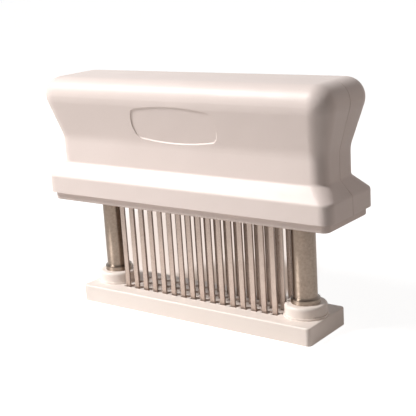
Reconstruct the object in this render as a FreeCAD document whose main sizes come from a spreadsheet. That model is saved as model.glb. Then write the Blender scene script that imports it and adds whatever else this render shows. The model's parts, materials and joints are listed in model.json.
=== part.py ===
import FreeCAD
import Part
import Sketcher
import math
import os

from FreeCAD import Placement, Rotation, Vector

os.makedirs("parts", exist_ok=True)
doc = FreeCAD.newDocument("blade_tenderizer")

# Driving sizes in millimetres. The origin is the centre of the base's underside, +X runs along the
# handle, +Z is up, and the front of the tool faces -Y.
SIZES = {
    # handle outside, from the bottom cover up to the crown
    "handle_length": 146.0,
    "handle_width": 36.7,
    "rest_height": 47.7,
    "flange_height": 7.55,
    "flange_corner": 4.9,
    "flange_round": 1.6,
    "lower_slope_height": 5.95,
    "lower_slope_round": 1.5,
    "waist_inset": 5.15,
    "waist_height": 11.45,
    "waist_corner": 5.9,
    "waist_round": 12.0,
    "upper_slope_height": 17.3,
    "bulge_round": 10.0,
    "bulge_corner": 8.4,
    "crown_height": 9.4,
    "crown_round": 7.8,
    "shell_wall": 2.2,
    "parting_groove_width": 0.24,
    "parting_groove_depth": 0.16,
    # blank panel sunk in the front slope: four bowed sides, round corners and a slanted step
    "panel_length": 43.8,
    "panel_height": 16.8,
    "panel_rise": 8.9,
    "panel_end_bow": 2.0,
    "panel_side_bow": 1.8,
    "panel_corner": 3.75,
    "panel_depth": 0.4,
    "panel_step": 0.35,
    # bottom cover
    "cover_inset": 1.95,
    "cover_thickness": 3.65,
    "cover_floor": 2.0,
    "cover_round": 0.8,
    "cover_lip_height": 1.5,
    "cover_lip_wall": 1.3,
    "fit_gap": 0.1,
    # base plate
    "base_length": 120.7,
    "base_width": 29.0,
    "base_thickness": 7.55,
    "base_corner": 1.9,
    "base_round": 0.7,
    "boss_diameter": 17.6,
    "boss_height": 5.2,
    "boss_round": 1.2,
    "skirt_reach": 0.5,
    "skirt_height": 0.8,
    "slot_length": 3.5,
    "slot_width": 3.0,
    "slot_groove_depth": 0.4,
    "base_wall": 2.0,
    "relief_depth": 4.5,
    # two columns
    "column_spacing": 100.8,
    "tube_diameter": 10.0,
    "tube_wall": 0.5,
    "bead_diameter": 12.0,
    "bead_height": 2.0,
    "bead_flare": 0.95,
    "tube_lip": 2.0,
    "spigot_gap": 0.05,
    "hole_gap": 0.3,
    "plug_height": 10.0,
    "base_web": 1.0,
    "bush_wall": 2.0,
    "bush_height": 10.9,
    "running_gap": 0.05,
    "stop_gap": 0.1,
    "washer_diameter": 13.4,
    "washer_thickness": 1.0,
    "clip_diameter": 12.4,
    "clip_thickness": 0.8,
    "clip_groove_depth": 0.2,
    "clip_opening": 5.0,
    # return springs and the rods that keep them straight
    "spring_wire": 0.9,
    "spring_diameter": 8.2,
    "spring_turns": 30,
    "guide_rod_diameter": 5.0,
    "guide_rod_length": 38.0,
    "guide_flange_diameter": 13.0,
    "guide_flange_thickness": 2.0,
    "guide_ring_wall": 1.3,
    "guide_ring_depth": 3.0,
    "press_travel": 31.7,
    # blades and what holds them
    "blades_per_row": 16,
    "blade_rows": 3,
    "blade_pitch": 5.27,
    "row_spacing": 6.2,
    "blade_width": 2.35,
    "blade_thickness": 1.05,
    "blade_tip_height": 2.5,
    "blade_tip_length": 4.0,
    "blade_bevel_length": 2.4,
    "blade_edge": 0.15,
    "blade_head_width": 3.7,
    "blade_head_height": 2.0,
    "socket_gap": 0.05,
    "blade_pass_gap": 0.3,
    "block_height": 8.0,
    "block_wall": 1.2,
    "block_side_wall": 2.0,
    "clamp_thickness": 2.0,
    # fasteners
    "base_screw_radius": 1.45,
    "base_screw_head_radius": 2.9,
    "base_screw_head_height": 1.8,
    "base_screw_length": 8.0,
    "base_screw_recess": 2.2,
    "cover_screw_radius": 1.05,
    "cover_screw_head_radius": 2.2,
    "cover_screw_head_height": 1.4,
    "cover_screw_length": 9.0,
    "cover_screw_recess": 1.7,
    "cover_screw_inset": 7.2,
    "clamp_screw_radius": 1.4,
    "clamp_screw_head_radius": 2.6,
    "clamp_screw_head_height": 1.6,
    "clamp_screw_length": 8.5,
    "clamp_screw_spacing": 63.2,
    "thread_gap": 0.05,
    "head_gap": 0.4,
    "driver_slot_reach": 1.3,
    "driver_slot_width": 0.8,
    "driver_slot_depth": 1.0,
    # ribs, bosses and pegs moulded inside the two shells
    "rib_thickness": 2.0,
    "rib_spacing": 21.0,
    "rib_height": 10.0,
    "saddle_height": 2.5,
    "saddle_reach": 9.0,
    "saddle_drop": 3.8,
    "screw_boss_radius": 2.9,
    "screw_boss_height": 11.5,
    "joint_boss_radius": 3.0,
    "joint_peg_radius": 1.5,
    "joint_peg_length": 3.0,
    "joint_spacing": 33.0,
    "joint_upper_drop": 13.0,
    "joint_lower_drop": 33.0,
}

sheet = doc.addObject("Spreadsheet::Sheet", "sizes")
for row, (alias, value) in enumerate(SIZES.items(), start=1):
    sheet.set(f"A{row}", alias)
    sheet.set(f"B{row}", str(value))
    sheet.setAlias(f"B{row}", alias)
doc.recompute()

# Levels, as formulas on the sheet
Z_FLANGE = "(sizes.rest_height + sizes.cover_thickness)"
Z_BAND = f"({Z_FLANGE} + sizes.flange_height)"
Z_WAIST = f"({Z_BAND} + sizes.lower_slope_height)"
Z_SLOPE = f"({Z_WAIST} + sizes.waist_height)"
Z_BULGE = f"({Z_SLOPE} + sizes.upper_slope_height)"
Z_TOP = f"({Z_BULGE} + sizes.crown_height)"
Z_CEILING = f"({Z_TOP} - sizes.shell_wall)"
Z_FLOOR = "(sizes.rest_height + sizes.cover_floor)"
Z_BLOCK_TOP = f"({Z_FLOOR} + sizes.block_height)"
Z_CLAMP_TOP = f"({Z_BLOCK_TOP} + sizes.clamp_thickness)"
Z_BUSH_TOP = f"({Z_FLOOR} + sizes.bush_height)"
Z_WASHER = f"({Z_BUSH_TOP} + sizes.stop_gap)"
Z_CLIP = f"({Z_WASHER} + sizes.washer_thickness)"
Z_CLIP_TOP = f"({Z_CLIP} + sizes.clip_thickness)"
Z_TUBE_TOP = f"({Z_CLIP_TOP} + sizes.tube_lip)"
Z_TUBE_FOOT = "(sizes.base_screw_recess + sizes.base_web)"
Z_PLUG_TOP = f"({Z_TUBE_FOOT} + sizes.plug_height)"
Z_BOSS = "(sizes.base_thickness + sizes.boss_height)"
Z_BEAD = f"({Z_BOSS} + sizes.bead_height)"
Z_GUIDE = f"({Z_CEILING} - sizes.stop_gap)"
Z_GUIDE_FLANGE = f"({Z_GUIDE} - sizes.guide_flange_thickness)"
Z_GUIDE_TIP = f"({Z_GUIDE_FLANGE} - sizes.guide_rod_length)"
Z_RING = f"({Z_CEILING} - sizes.guide_ring_depth)"

# Plan places and radii that several pieces share
COLUMN_X = "(sizes.column_spacing / 2)"
TUBE_R = "(sizes.tube_diameter / 2)"
BORE_R = f"({TUBE_R} - sizes.tube_wall)"
BUSH_R = f"({TUBE_R} + sizes.running_gap + sizes.bush_wall)"
CHANNEL_R = f"({BUSH_R} + sizes.fit_gap)"
ROW_LENGTH = "(sizes.blade_pitch * (sizes.blades_per_row - 1))"
ROW_SPREAD = "(sizes.row_spacing * (sizes.blade_rows - 1))"
BLOCK_LENGTH = f"({ROW_LENGTH} + sizes.blade_head_width + 2 * sizes.block_wall)"
BLOCK_WIDTH = f"({ROW_SPREAD} + sizes.blade_thickness + 2 * sizes.block_side_wall)"
SCREW_X = "(sizes.handle_length / 2 - sizes.cover_screw_inset)"
SCREW_Y = "(sizes.handle_width / 2 - sizes.cover_screw_inset)"
CLAMP_X = "(sizes.clamp_screw_spacing / 2)"
CLAMP_Y = "(sizes.row_spacing / 2)"
SIDES = (("left", "-1"), ("right", "1"))


def number(formula):
    """The value of a formula on the sheet, as a plain number."""
    value = sheet.evalExpression(formula)
    return float(getattr(value, "Value", value))


def new_body(name):
    body = doc.addObject("PartDesign::Body", name)
    body.Label = name
    return body


def origin_feature(body, role):
    return next(item for item in body.Origin.OriginFeatures if item.Role == role)


def new_sketch(body, name, plane, offset="0"):
    sketch = body.newObject("Sketcher::SketchObject", name)
    sketch.AttachmentSupport = [(origin_feature(body, plane), "")]
    sketch.MapMode = "FlatFace"
    sketch.setExpression("AttachmentOffset.Base.z", offset)
    return sketch


def dimension(sketch, kind, points, formula):
    index = sketch.addConstraint(Sketcher.Constraint(kind, *points, number(formula)))
    sketch.setExpression(f"Constraints[{index}]", formula)


def add_circle(sketch, radius, x="0", y="0"):
    centre = Vector(number(x), number(y), 0)
    circle = sketch.addGeometry(Part.Circle(centre, Vector(0, 0, 1), number(radius)))
    dimension(sketch, "Radius", (circle,), radius)
    dimension(sketch, "DistanceX", (-1, 1, circle, 3), x)
    dimension(sketch, "DistanceY", (-1, 1, circle, 3), y)


def add_polygon(sketch, corners):
    points = [Vector(number(x), number(y), 0) for x, y in corners]
    lines = []
    for start, end in zip(points, points[1:] + points[:1]):
        lines.append(sketch.addGeometry(Part.LineSegment(start, end)))
    for this, following in zip(lines, lines[1:] + lines[:1]):
        sketch.addConstraint(Sketcher.Constraint("Coincident", this, 2, following, 1))
    for line, (x, y) in zip(lines, corners):
        dimension(sketch, "DistanceX", (-1, 1, line, 1), x)
        dimension(sketch, "DistanceY", (-1, 1, line, 1), y)


def add_rectangle(sketch, length, width, x="0", y="0"):
    low_x, high_x = f"{x} - {length} / 2", f"{x} + {length} / 2"
    low_y, high_y = f"{y} - {width} / 2", f"{y} + {width} / 2"
    add_polygon(sketch, [(low_x, low_y), (high_x, low_y), (high_x, high_y), (low_x, high_y)])


def add_rounded_rectangle(sketch, length, width, radius):
    half_x, half_y, r = number(length) / 2, number(width) / 2, number(radius)
    in_x, in_y = half_x - r, half_y - r
    ends = [((-in_x, -half_y), (in_x, -half_y)), ((half_x, -in_y), (half_x, in_y)),
            ((in_x, half_y), (-in_x, half_y)), ((-half_x, in_y), (-half_x, -in_y))]
    lines = [sketch.addGeometry(Part.LineSegment(Vector(*a, 0), Vector(*b, 0))) for a, b in ends]
    centres = [(in_x, -in_y), (in_x, in_y), (-in_x, in_y), (-in_x, -in_y)]
    arcs = []
    for quarter, (x, y) in enumerate(centres):
        circle = Part.Circle(Vector(x, y, 0), Vector(0, 0, 1), r)
        start = (quarter - 1) * math.pi / 2
        arcs.append(sketch.addGeometry(Part.ArcOfCircle(circle, start, start + math.pi / 2)))
    for index in range(4):
        following = (index + 1) % 4
        sketch.addConstraint(Sketcher.Constraint("Tangent", lines[index], 2, arcs[index], 1))
        sketch.addConstraint(Sketcher.Constraint("Tangent", arcs[index], 2, lines[following], 1))
    sketch.addConstraint(Sketcher.Constraint("Horizontal", lines[2]))
    sketch.addConstraint(Sketcher.Constraint("Vertical", lines[3]))
    for first, second in zip(arcs, arcs[1:]):
        sketch.addConstraint(Sketcher.Constraint("Equal", first, second))
    sketch.addConstraint(Sketcher.Constraint("Symmetric", lines[0], 1, lines[0], 2, -2))
    sketch.addConstraint(Sketcher.Constraint("Symmetric", lines[1], 1, lines[1], 2, -1))
    dimension(sketch, "Radius", (arcs[0],), radius)
    dimension(sketch, "DistanceX", (lines[3], 1, lines[1], 1), length)
    dimension(sketch, "DistanceY", (lines[0], 1, lines[2], 1), width)


def pad(body, sketch, name, length, both_ways=False):
    feature = body.newObject("PartDesign::Pad", name)
    feature.Profile = sketch
    feature.setExpression("Length", length)
    if both_ways:
        feature.SideType = "Symmetric"
    doc.recompute()
    return feature


def pocket(body, sketch, name, depth=None, upwards=False, both_ways=False):
    """Cuts a sketch into the body, down from its plane, and checks that it did cut."""
    before = body.Shape.Volume
    feature = body.newObject("PartDesign::Pocket", name)
    feature.Profile = sketch
    feature.Reversed = upwards
    if depth is None:
        feature.Type = "ThroughAll"
    else:
        feature.setExpression("Length", depth)
    if both_ways:
        feature.SideType = "Symmetric"
    doc.recompute()
    if body.Shape.Volume > before - 1e-6:
        raise RuntimeError(f"{name} cut nothing")
    return feature


def pattern(body, name, feature, direction, length, count, second=None):
    """Repeats a feature along one origin axis, or over a grid along two."""
    repeat = body.newObject("PartDesign::LinearPattern", name)
    repeat.Originals = [feature]
    repeat.Direction = (origin_feature(body, direction), [""])
    repeat.setExpression("Length", length)
    repeat.setExpression("Occurrences", count)
    if second:
        second_direction, second_length, second_count = second
        repeat.Direction2 = (origin_feature(body, second_direction), [""])
        repeat.setExpression("Length2", second_length)
        repeat.setExpression("Occurrences2", second_count)
    body.Tip = repeat
    doc.recompute()
    return repeat


def edges_at(feature, height, radius=None):
    """Names of the edges that lie flat at one height, all of them or one circle of a radius."""
    names = []
    for index, edge in enumerate(feature.Shape.Edges, start=1):
        box = edge.BoundBox
        flat = abs(box.ZMin - height) < 1e-4 and abs(box.ZMax - height) < 1e-4
        round_enough = radius is None or (
            hasattr(edge.Curve, "Radius") and abs(edge.Curve.Radius - radius) < 1e-4)
        if flat and round_enough:
            names.append(f"Edge{index}")
    return names


def fillet(body, feature, name, height, radius, edge_radius=None):
    edge_round = body.newObject("PartDesign::Fillet", name)
    edge_round.Base = (feature, edges_at(feature, number(height), edge_radius))
    edge_round.setExpression("Radius", radius)
    doc.recompute()
    return edge_round


def revolve(body, sketch, name):
    feature = body.newObject("PartDesign::Revolution", name)
    feature.Profile = sketch
    feature.ReferenceAxis = (sketch, ["V_Axis"])
    feature.Angle = 360
    doc.recompute()
    return feature


def cylinder(name, radius, height, x, y, z, tilt=0):
    """A cylinder that stands up from (x, y, z), or with a tilt of -90 runs along +Y from it."""
    shape = doc.addObject("Part::Cylinder", name)
    shape.setExpression("Radius", radius)
    shape.setExpression("Height", height)
    shape.Placement = Placement(Vector(), Rotation(Vector(1, 0, 0), tilt))
    place(shape, x, y, z)
    return shape


def block(name, length, width, height, x, y, z):
    """A box whose underside is centred on (x, y, z)."""
    shape = doc.addObject("Part::Box", name)
    shape.setExpression("Length", length)
    shape.setExpression("Width", width)
    shape.setExpression("Height", height)
    place(shape, f"{x} - ({length}) / 2", f"{y} - ({width}) / 2", z)
    return shape


def place(shape, x, y, z):
    shape.setExpression("Placement.Base.x", x)
    shape.setExpression("Placement.Base.y", y)
    shape.setExpression("Placement.Base.z", z)


def cut(name, base, tool):
    result = doc.addObject("Part::Cut", name)
    result.Base = base
    result.Tool = tool
    return result


def joined(kind, name, shapes):
    result = doc.addObject(kind, name)
    if kind == "Part::Compound":
        result.Links = shapes
    else:
        result.Shapes = shapes
    return result


PARTS = []


def keep(*pieces):
    PARTS.extend(pieces)


# Base plate: one moulding with a boss for each column and a grid of slots that the blades pass
base = new_body("base_plate")
plan = new_sketch(base, "base_plan", "XY_Plane")
add_rounded_rectangle(plan, "sizes.base_length", "sizes.base_width", "sizes.base_corner")
plate = pad(base, plan, "base_slab", "sizes.base_thickness")
plate = fillet(base, plate, "base_edge", "sizes.base_thickness", "sizes.base_round")
for feature_name, radius, height in (
        ("boss", "sizes.boss_diameter / 2", "sizes.boss_height"),
        ("skirt", "sizes.boss_diameter / 2 + sizes.skirt_reach", "sizes.skirt_height")):
    circles = new_sketch(base, f"{feature_name}_plan", "XY_Plane", "sizes.base_thickness")
    for side, sign in SIDES:
        add_circle(circles, radius, f"{sign} * {COLUMN_X}")
    raised = pad(base, circles, f"{feature_name}_pad", height)
    if feature_name == "boss":
        raised = fillet(base, raised, "boss_edge", Z_BOSS, "sizes.boss_round")

groove_plan = new_sketch(base, "groove_plan", "XY_Plane", "sizes.base_thickness")
add_rectangle(groove_plan, f"({ROW_LENGTH} + sizes.slot_length)", "sizes.slot_width",
              y=f"-{ROW_SPREAD} / 2")
groove = pocket(base, groove_plan, "slot_groove", "sizes.slot_groove_depth")
pattern(base, "slot_grooves", groove, "Y_Axis", ROW_SPREAD, "sizes.blade_rows")
slot_plan = new_sketch(base, "slot_plan", "XY_Plane", "sizes.base_thickness")
add_rectangle(slot_plan, "sizes.slot_length", "sizes.slot_width",
              f"-{ROW_LENGTH} / 2", f"-{ROW_SPREAD} / 2")
slot = pocket(base, slot_plan, "blade_slot")
pattern(base, "blade_slots", slot, "X_Axis", ROW_LENGTH, "sizes.blades_per_row",
        ("Y_Axis", ROW_SPREAD, "sizes.blade_rows"))

bores = new_sketch(base, "bore_plan", "XY_Plane", Z_BOSS)
screw_holes = new_sketch(base, "web_hole_plan", "XY_Plane", Z_BOSS)
recesses = new_sketch(base, "screw_recess_plan", "XY_Plane")
for side, sign in SIDES:
    add_circle(bores, f"{TUBE_R} + sizes.spigot_gap", f"{sign} * {COLUMN_X}")
    add_circle(screw_holes, "sizes.base_screw_radius + sizes.hole_gap", f"{sign} * {COLUMN_X}")
    add_circle(recesses, "sizes.base_screw_head_radius + sizes.head_gap", f"{sign} * {COLUMN_X}")
pocket(base, bores, "column_bores", f"{Z_BOSS} - {Z_TUBE_FOOT}")
pocket(base, screw_holes, "web_holes")
pocket(base, recesses, "screw_recesses", "sizes.base_screw_recess", upwards=True)

slot_edge = f"({ROW_SPREAD} + sizes.slot_width) / 2"
relief_width = f"(sizes.base_width / 2 - 2 * sizes.base_wall - {slot_edge})"
relief = new_sketch(base, "relief_plan", "XY_Plane")
for sign in ("-1", "1"):
    add_rectangle(relief, f"({ROW_LENGTH} + sizes.slot_length)", relief_width,
                  y=f"{sign} * ({slot_edge} + sizes.base_wall + {relief_width} / 2)")
pocket(base, relief, "underside_relief", "sizes.relief_depth", upwards=True)
keep(base)

# Columns: a thin steel tube on each boss, with a flared bead that seats it and a groove near the
# top for the clip, and a plug pressed into its foot that takes the base screw
for side, sign in SIDES:
    tube = new_body(f"{side}_column_tube")
    profile = new_sketch(tube, f"{side}_tube_profile", "XZ_Plane")
    groove_r = f"({TUBE_R} - sizes.clip_groove_depth)"
    bead_r = "(sizes.bead_diameter / 2)"
    add_polygon(profile, [
        (BORE_R, Z_TUBE_FOOT), (TUBE_R, Z_TUBE_FOOT), (TUBE_R, Z_BOSS), (bead_r, Z_BOSS),
        (bead_r, Z_BEAD), (TUBE_R, Z_BEAD), (TUBE_R, Z_CLIP), (groove_r, Z_CLIP),
        (groove_r, Z_CLIP_TOP), (TUBE_R, Z_CLIP_TOP), (TUBE_R, Z_TUBE_TOP), (BORE_R, Z_TUBE_TOP)])
    turned = revolve(tube, profile, f"{side}_tube_turned")
    fillet(tube, turned, f"{side}_tube_flare", Z_BEAD, "sizes.bead_flare", number(TUBE_R))
    place(tube, f"{sign} * {COLUMN_X}", "0", "0")

    plug = cylinder(f"{side}_plug_rod", f"{BORE_R} - sizes.spigot_gap / 2", "sizes.plug_height",
                    f"{sign} * {COLUMN_X}", "0", Z_TUBE_FOOT)
    thread = cylinder(f"{side}_plug_thread", "sizes.base_screw_radius + sizes.thread_gap",
                      "sizes.base_screw_length", f"{sign} * {COLUMN_X}", "0", Z_TUBE_FOOT)
    keep(tube, cut(f"{side}_column_plug", plug, thread))


def screw(name, radius, length, head_radius, head_height, x, y, z, head_up):
    """A round-headed screw with a cross slot; z is where its head bears."""
    shank_z = f"{z} - ({length})" if head_up else z
    head_z = z if head_up else f"{z} - {head_height}"
    shank = cylinder(f"{name}_shank", radius, length, x, y, shank_z)
    head = cylinder(f"{name}_head", head_radius, head_height, x, y, head_z)
    whole = joined("Part::MultiFuse", f"{name}_whole", [shank, head])
    slot_z = f"{z} + {head_height} - sizes.driver_slot_depth" if head_up else (
        f"{z} - {head_height}")
    reach = f"sizes.driver_slot_reach * {head_radius}"
    arms = [block(f"{name}_slot_x", reach, "sizes.driver_slot_width",
                  "sizes.driver_slot_depth", x, y, slot_z),
            block(f"{name}_slot_y", "sizes.driver_slot_width", reach,
                  "sizes.driver_slot_depth", x, y, slot_z)]
    return cut(name, whole, joined("Part::MultiFuse", f"{name}_cross", arms))


base_screws = [
    screw(f"{side}_base_screw", "sizes.base_screw_radius", "sizes.base_screw_length",
          "sizes.base_screw_head_radius", "sizes.base_screw_head_height",
          f"{sign} * {COLUMN_X}", "0", "sizes.base_screw_recess", head_up=False)
    for side, sign in SIDES]
keep(joined("Part::Compound", "base_screws", base_screws))

# Stops at the top of each tube: a washer that meets the guide bush, held by an open clip
for side, sign in SIDES:
    x = f"{sign} * {COLUMN_X}"
    disc = cylinder(f"{side}_washer_disc", "sizes.washer_diameter / 2", "sizes.washer_thickness",
                    x, "0", Z_WASHER)
    hole = cylinder(f"{side}_washer_hole", f"{TUBE_R} + sizes.running_gap",
                    "sizes.washer_thickness", x, "0", Z_WASHER)
    keep(cut(f"{side}_stop_washer", disc, hole))
    ring = cylinder(f"{side}_clip_disc", "sizes.clip_diameter / 2", "sizes.clip_thickness",
                    x, "0", Z_CLIP)
    inside = cylinder(f"{side}_clip_hole", f"{TUBE_R} - sizes.clip_groove_depth",
                      "sizes.clip_thickness", x, "0", Z_CLIP)
    mouth = block(f"{side}_clip_mouth", "sizes.clip_opening", "sizes.clip_diameter",
                  "sizes.clip_thickness", x, "-sizes.clip_diameter / 2", Z_CLIP)
    gone = joined("Part::MultiFuse", f"{side}_clip_gone", [inside, mouth])
    keep(cut(f"{side}_retaining_clip", ring, gone))


def biarc(start, start_way, end, end_way):
    """Two arcs that leave start and reach end along unit directions, meeting tangentially."""
    chord = end - start
    ways = start_way + end_way
    a = 2 * (1 - start_way.dot(end_way))
    b = 2 * chord.dot(ways)
    reach = (-b + math.sqrt(b * b + 4 * a * chord.dot(chord))) / (2 * a)
    first = start + start_way * reach
    last = end - end_way * reach
    middle = (first + last) * 0.5

    def arc(tip, way, corner, far):
        half = (far - tip).Length / 2
        angle = way.getAngle(far - tip)
        rise = half * math.tan(angle / 2)
        centre_of_chord = (tip + far) * 0.5
        outward = corner - centre_of_chord
        return Part.Arc(tip, centre_of_chord + outward * (rise / outward.Length), far).toShape()

    return [arc(start, start_way, first, middle), arc(middle, last - middle, last, end)]


def coil(radius, wire, turns, bottom, top):
    """A helical spring as one unbroken wire, a quarter turn to each pair of arcs."""
    low, high = bottom + wire / 2, top - wire / 2
    steps = int(round(turns * 4))
    pitch = (high - low) / turns

    def point(angle):
        return Vector(radius * math.cos(angle), radius * math.sin(angle),
                      low + pitch * angle / (2 * math.pi))

    def heading(angle):
        way = Vector(-radius * math.sin(angle), radius * math.cos(angle), pitch / (2 * math.pi))
        return way.normalize()

    arcs = []
    for step in range(steps):
        here, there = step * math.pi / 2, (step + 1) * math.pi / 2
        arcs += biarc(point(here), heading(here), point(there), heading(there))
    section = Part.Wire([Part.Circle(point(0), heading(0), wire / 2).toShape()])
    print(f"spring: {turns:.0f} turns, least gap between turns {pitch - wire:.2f} mm")
    return Part.Wire(arcs).makePipeShell([section], True, False)


# Return springs: one in each tube, from the plug up to the guide under the handle's ceiling
for side, sign in SIDES:
    spring = doc.addObject("Part::Feature", f"{side}_return_spring")
    mean_radius = number("(sizes.spring_diameter - sizes.spring_wire) / 2")
    spring.Shape = coil(mean_radius, number("sizes.spring_wire"), number("sizes.spring_turns"),
                        number(f"{Z_PLUG_TOP} + sizes.stop_gap"),
                        number(f"{Z_GUIDE_FLANGE} - sizes.stop_gap"))
    spring.Placement = Placement(Vector(number(f"{sign} * {COLUMN_X}"), 0, 0), Rotation())
    keep(spring)

# Spring guides: a rod down the middle of each spring, with a flange that seats in a ring under
# the ceiling of the handle
for side, sign in SIDES:
    guide = new_body(f"{side}_spring_guide")
    profile = new_sketch(guide, f"{side}_guide_profile", "XZ_Plane")
    rod_r = "(sizes.guide_rod_diameter / 2)"
    flange_r = "(sizes.guide_flange_diameter / 2)"
    add_polygon(profile, [("0", Z_GUIDE_TIP), (rod_r, Z_GUIDE_TIP), (rod_r, Z_GUIDE_FLANGE),
                          (flange_r, Z_GUIDE_FLANGE), (flange_r, Z_GUIDE), ("0", Z_GUIDE)])
    revolve(guide, profile, f"{side}_guide_turned")
    place(guide, f"{sign} * {COLUMN_X}", "0", "0")
    keep(guide)

# Guide bushes: plain sleeves that stand on the cover's floor and slide on the tubes
for side, sign in SIDES:
    bush = new_body(f"{side}_guide_bush")
    ring = new_sketch(bush, f"{side}_bush_plan", "XY_Plane", Z_FLOOR)
    add_circle(ring, BUSH_R)
    add_circle(ring, f"{TUBE_R} + sizes.running_gap")
    pad(bush, ring, f"{side}_bush_sleeve", "sizes.bush_height")
    place(bush, f"{sign} * {COLUMN_X}", "0", "0")
    keep(bush)

# Bottom cover: closes the two shells from below, seats the blade block and the bushes, and lets
# the blades and the tubes through
cover = new_body("bottom_cover")
plan = new_sketch(cover, "cover_plan", "XY_Plane", "sizes.rest_height")
add_rounded_rectangle(plan, "sizes.handle_length - 2 * sizes.cover_inset",
                      "sizes.handle_width - 2 * sizes.cover_inset",
                      "sizes.flange_corner - sizes.cover_inset")
slab = pad(cover, plan, "cover_slab", "sizes.cover_thickness")
fillet(cover, slab, "cover_edge", "sizes.rest_height", "sizes.cover_round")
lip = new_sketch(cover, "lip_plan", "XY_Plane", Z_FLANGE)
for inset in ("(sizes.shell_wall + sizes.fit_gap)",
              "(sizes.shell_wall + sizes.fit_gap + sizes.cover_lip_wall)"):
    add_rounded_rectangle(lip, f"sizes.handle_length - 2 * {inset}",
                          f"sizes.handle_width - 2 * {inset}", f"sizes.flange_corner - {inset}")
pad(cover, lip, "cover_lip", "sizes.cover_lip_height")
seat = new_sketch(cover, "block_seat_plan", "XY_Plane", Z_FLANGE)
add_rectangle(seat, f"({BLOCK_LENGTH} + 2 * sizes.fit_gap)", f"({BLOCK_WIDTH} + 2 * sizes.fit_gap)")
pocket(cover, seat, "block_seat", "sizes.cover_thickness - sizes.cover_floor")
bush_seats = new_sketch(cover, "bush_seat_plan", "XY_Plane", Z_FLANGE)
tube_holes = new_sketch(cover, "tube_hole_plan", "XY_Plane", Z_FLANGE)
for side, sign in SIDES:
    add_circle(bush_seats, f"{BUSH_R} + sizes.fit_gap", f"{sign} * {COLUMN_X}")
    add_circle(tube_holes, f"{TUBE_R} + sizes.hole_gap", f"{sign} * {COLUMN_X}")
pocket(cover, bush_seats, "bush_seats", "sizes.cover_thickness - sizes.cover_floor")
pocket(cover, tube_holes, "tube_holes")
pass_plan = new_sketch(cover, "blade_pass_plan", "XY_Plane", Z_FLANGE)
add_rectangle(pass_plan, "(sizes.blade_width + 2 * sizes.blade_pass_gap)",
              "(sizes.blade_thickness + 2 * sizes.blade_pass_gap)",
              f"-{ROW_LENGTH} / 2", f"-{ROW_SPREAD} / 2")
blade_pass = pocket(cover, pass_plan, "blade_pass")
pattern(cover, "blade_passes", blade_pass, "X_Axis", ROW_LENGTH, "sizes.blades_per_row",
        ("Y_Axis", ROW_SPREAD, "sizes.blade_rows"))
CORNERS = [(sx, sy) for sx in ("-1", "1") for sy in ("-1", "1")]
holes = new_sketch(cover, "cover_screw_hole_plan", "XY_Plane", Z_FLANGE)
recesses = new_sketch(cover, "cover_screw_recess_plan", "XY_Plane", "sizes.rest_height")
for sx, sy in CORNERS:
    add_circle(holes, "sizes.cover_screw_radius + sizes.hole_gap",
               f"{sx} * {SCREW_X}", f"{sy} * {SCREW_Y}")
    add_circle(recesses, "sizes.cover_screw_head_radius + sizes.head_gap",
               f"{sx} * {SCREW_X}", f"{sy} * {SCREW_Y}")
pocket(cover, holes, "cover_screw_holes")
pocket(cover, recesses, "cover_screw_recesses", "sizes.cover_screw_recess", upwards=True)
keep(cover)

cover_screws = [
    screw(f"cover_screw_{index}", "sizes.cover_screw_radius", "sizes.cover_screw_length",
          "sizes.cover_screw_head_radius", "sizes.cover_screw_head_height",
          f"{sx} * {SCREW_X}", f"{sy} * {SCREW_Y}",
          "(sizes.rest_height + sizes.cover_screw_recess)", head_up=False)
    for index, (sx, sy) in enumerate(CORNERS)]
keep(joined("Part::Compound", "cover_screws", cover_screws))

# Blade block: a comb of sockets, with a groove along each row for the heads of the blades
holder = new_body("blade_block")
plan = new_sketch(holder, "block_plan", "XY_Plane", Z_FLOOR)
add_rectangle(plan, BLOCK_LENGTH, BLOCK_WIDTH)
pad(holder, plan, "block_slab", "sizes.block_height")
socket = new_sketch(holder, "socket_plan", "XY_Plane", Z_BLOCK_TOP)
add_rectangle(socket, "(sizes.blade_width + 2 * sizes.socket_gap)",
              "(sizes.blade_thickness + 2 * sizes.socket_gap)",
              f"-{ROW_LENGTH} / 2", f"-{ROW_SPREAD} / 2")
socket_cut = pocket(holder, socket, "blade_socket")
pattern(holder, "blade_sockets", socket_cut, "X_Axis", ROW_LENGTH, "sizes.blades_per_row",
        ("Y_Axis", ROW_SPREAD, "sizes.blade_rows"))
channel = new_sketch(holder, "head_groove_plan", "XY_Plane", Z_BLOCK_TOP)
add_rectangle(channel, f"({ROW_LENGTH} + sizes.blade_head_width + 2 * sizes.socket_gap)",
              "(sizes.blade_thickness + 2 * sizes.socket_gap)", y=f"-{ROW_SPREAD} / 2")
channel_cut = pocket(holder, channel, "head_groove", "sizes.blade_head_height")
pattern(holder, "head_grooves", channel_cut, "Y_Axis", ROW_SPREAD, "sizes.blade_rows")
threads = new_sketch(holder, "clamp_thread_plan", "XY_Plane", Z_BLOCK_TOP)
clamp = new_body("blade_clamp_plate")
plan = new_sketch(clamp, "clamp_plan", "XY_Plane", Z_BLOCK_TOP)
add_rectangle(plan, BLOCK_LENGTH, BLOCK_WIDTH)
pad(clamp, plan, "clamp_slab", "sizes.clamp_thickness")
clamp_holes = new_sketch(clamp, "clamp_hole_plan", "XY_Plane", Z_CLAMP_TOP)
for sx, sy in CORNERS:
    add_circle(threads, "sizes.clamp_screw_radius + sizes.thread_gap",
               f"{sx} * {CLAMP_X}", f"{sy} * {CLAMP_Y}")
    add_circle(clamp_holes, "sizes.clamp_screw_radius + sizes.thread_gap",
               f"{sx} * {CLAMP_X}", f"{sy} * {CLAMP_Y}")
pocket(holder, threads, "clamp_threads", "sizes.clamp_screw_length - sizes.clamp_thickness")
pocket(clamp, clamp_holes, "clamp_holes")
keep(holder, clamp)

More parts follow.
